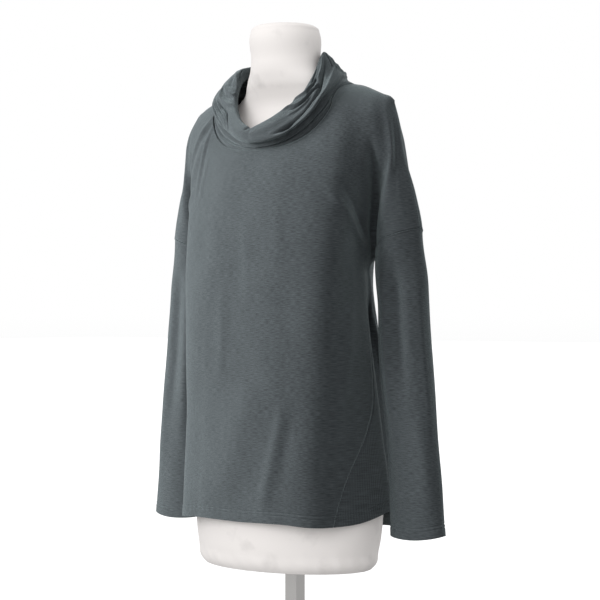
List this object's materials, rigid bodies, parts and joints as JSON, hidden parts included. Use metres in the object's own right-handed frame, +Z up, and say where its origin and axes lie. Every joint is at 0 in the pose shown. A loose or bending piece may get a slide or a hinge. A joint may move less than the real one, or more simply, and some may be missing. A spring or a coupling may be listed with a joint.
{
  "type": "cowl neck sweater on a dress form",
  "caption": "Long-sleeved knitted sweater with a slouchy cowl collar and shirt-tail hem, worn by a limbless dress form on a post with a round foot.",
  "frame": {"origin": "centre of the foot's underside, on the post's axis", "axes": "+Z up; -Y is the front of the sweater; +X is the wearer's left"},
  "size_m": [0.5712, 0.3, 1.039],
  "materials": {
    "knit": "fine heathered jersey knit, dark slate grey",
    "form_cover": "smooth white stretch cover",
    "steel": "satin"
  },
  "bodies": {
    "root": {"front": "knit", "back": "knit", "sleeve_left": "knit", "sleeve_right": "knit", "cowl_collar": "knit", "form_torso": "form_cover", "form_post": "steel", "form_foot": "steel"}
  },
  "joints": []
}
